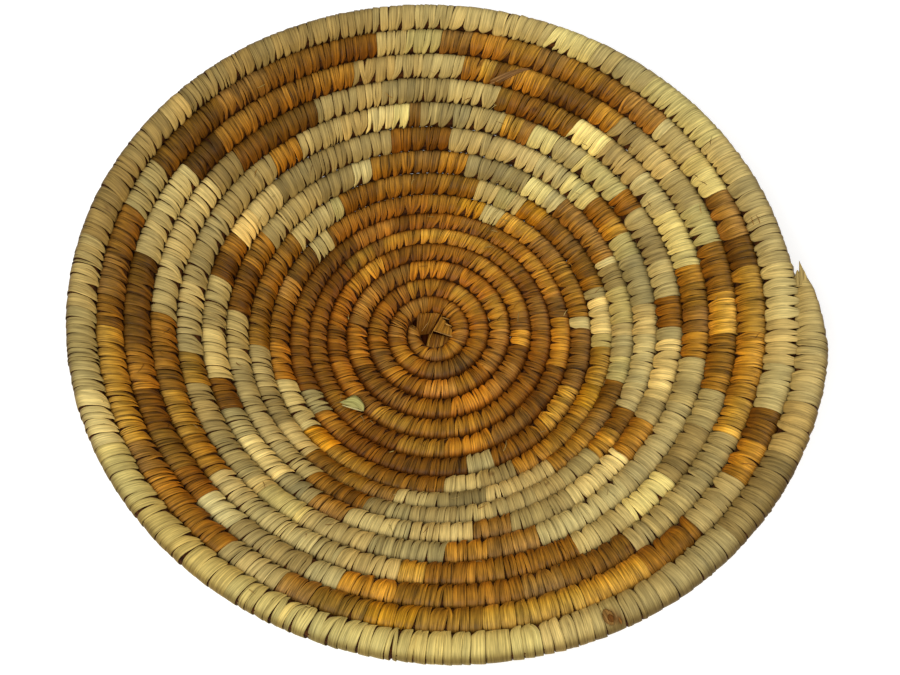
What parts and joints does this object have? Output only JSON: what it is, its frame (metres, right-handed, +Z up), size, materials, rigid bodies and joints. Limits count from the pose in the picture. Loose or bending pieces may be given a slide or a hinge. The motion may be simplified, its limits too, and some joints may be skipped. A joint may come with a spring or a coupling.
{
  "type": "coiled basket bowl",
  "caption": "Shallow round bowl of one grass coil wrapped all over in natural and dyed leaf strands, with a flat base and a flaring wall.",
  "frame": {"origin": "middle of the bowl's outline in plan, at the height of the surface that it stands on", "axes": "+Z up through the bowl's mouth, +X towards the side where the coil ends"},
  "size_m": [0.2522, 0.2444, 0.046],
  "materials": {
    "leaf_dyed": "satin dried leaf, dyed brown, with pale runs between the brown ones",
    "leaf_natural": "satin dried leaf, undyed",
    "grass_bundle": "matt dry grass"
  },
  "bodies": {
    "root": {"grass_core": "grass_bundle", "start_knot": "leaf_dyed", "wrap_start": "leaf_dyed", "wrap_base_01_1": "leaf_dyed", "wrap_base_02_1": "leaf_dyed", "wrap_base_03_1": "leaf_dyed", "wrap_base_04_1": "leaf_dyed", "wrap_base_05_1": "leaf_dyed", "wrap_base_06_1": "leaf_dyed", "wrap_base_06_2": "leaf_dyed", "wrap_base_06_3": "leaf_dyed", "wrap_ring_07_1": "leaf_dyed", "wrap_ring_07_2": "leaf_dyed", "wrap_ring_07_3": "leaf_dyed", "wrap_ring_07_4": "leaf_dyed", "wrap_ring_07_5": "leaf_dyed", "wrap_ring_08_1": "leaf_dyed", "wrap_ring_08_2": "leaf_dyed", "wrap_ring_08_3": "leaf_dyed", "wrap_ring_08_4": "leaf_dyed", "wrap_ring_08_5": "leaf_dyed", "wrap_ring_09_1": "leaf_dyed", "wrap_ring_09_2": "leaf_dyed", "wrap_ring_09_3": "leaf_dyed", "wrap_ring_09_4": "leaf_dyed", "wrap_ring_09_5": "leaf_dyed", "wrap_ring_10_1": "leaf_dyed", "wrap_ring_10_2": "leaf_dyed", "wrap_ring_10_3": "leaf_dyed", "wrap_ring_10_4": "leaf_dyed", "wrap_ring_10_5": "leaf_dyed", "wrap_ring_11_1": "leaf_dyed", "wrap_ring_11_2": "leaf_dyed", "wrap_ring_11_3": "leaf_dyed", "wrap_ring_11_4": "leaf_dyed", "wrap_ring_11_5": "leaf_dyed", "wrap_ring_12_1": "leaf_dyed", "wrap_ring_12_2": "leaf_dyed", "wrap_ring_12_3": "leaf_dyed", "wrap_ring_12_4": "leaf_dyed", "wrap_ring_12_5": "leaf_dyed", "wrap_ring_13_1": "leaf_dyed", "wrap_ring_13_2": "leaf_dyed", "wrap_ring_13_3": "leaf_dyed", "wrap_ring_13_4": "leaf_dyed", "wrap_ring_13_5": "leaf_dyed", "wrap_ring_14_1": "leaf_dyed", "wrap_ring_14_2": "leaf_dyed", "wrap_ring_14_3": "leaf_dyed", "wrap_ring_14_4": "leaf_dyed", "wrap_ring_14_5": "leaf_dyed", "wrap_rim_15_1": "leaf_natural", "wrap_rim_15_2": "leaf_natural", "wrap_rim_15_3": "leaf_natural", "wrap_rim_15_4": "leaf_natural", "wrap_rim_15_5": "leaf_natural", "tail_tip": "leaf_natural"}
  },
  "joints": []
}
